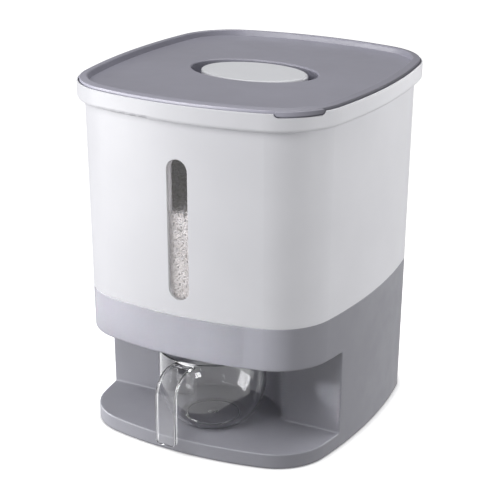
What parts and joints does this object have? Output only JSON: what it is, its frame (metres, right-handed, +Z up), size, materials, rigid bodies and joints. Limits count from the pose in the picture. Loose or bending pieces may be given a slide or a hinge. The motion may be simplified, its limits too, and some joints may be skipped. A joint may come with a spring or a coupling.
{
  "type": "grain dispenser",
  "caption": "Countertop rice bin with a flared bucket, lift-off lid and slot window; pushing the clear cup back opens a sprung shutter that fills it.",
  "frame": {"origin": "on the floor under the middle of the base; the base cover's lower face is 1 mm above it", "axes": "+Z up; -Y to the front, where the cup's handle is; +X to the right of someone facing the front, so the lid's pull tab is at +X, -Y"},
  "size_m": [0.2532, 0.2917, 0.3112],
  "materials": {
    "white_plastic": "moulded white polypropylene, satin",
    "grey_plastic": "moulded light grey ABS, fine matte texture",
    "lid_plastic": "moulded mid grey ABS, fine matte texture",
    "pale_plastic": "moulded pale grey ABS, satin",
    "clear_plastic": "clear moulded styrene, polished",
    "soft_rubber": "moulded rubber, matte",
    "seal_silicone": "moulded translucent silicone, matte",
    "steel": "zinc-plated steel"
  },
  "bodies": {
    "base": {"base_shell": "grey_plastic", "bottom_cover": "grey_plastic", "bottom_screws": "steel", "rubber_feet": "soft_rubber", "bucket": "white_plastic", "bucket_screws": "steel", "window_gasket": "seal_silicone", "window_pane": "clear_plastic", "window_frame": "white_plastic", "funnel": "white_plastic", "gate_rail_left": "grey_plastic", "gate_rail_right": "grey_plastic", "gate_screws": "steel", "return_spring_left": "steel", "return_spring_right": "steel", "spring_pin_left": "steel", "spring_pin_right": "steel"},
    "gate": {"gate_plate": "grey_plastic", "push_paddle": "grey_plastic", "paddle_screws": "steel"},
    "cup": {"measuring_cup": "clear_plastic"},
    "lid": {"lid": "lid_plastic", "lid_seal": "seal_silicone", "lid_grip": "pale_plastic", "grip_screws": "steel"}
  },
  "joints": [
    {"name": "gate_slide", "type": "slide", "parent": "base", "child": "gate", "axis": [0, 1, 0], "range_m": [0, 0.008], "stiffness_N_per_m": 250, "springref_m": -0.004, "deforming": ["return_spring_left", "return_spring_right"]},
    {"name": "cup_pull", "type": "slide", "parent": "gate", "child": "cup", "axis": [0, -1, 0], "range_m": [0, 0.18]},
    {"name": "lid_lift", "type": "slide", "parent": "base", "child": "lid", "axis": [0, 0, 1], "range_m": [0, 0.12]}
  ]
}
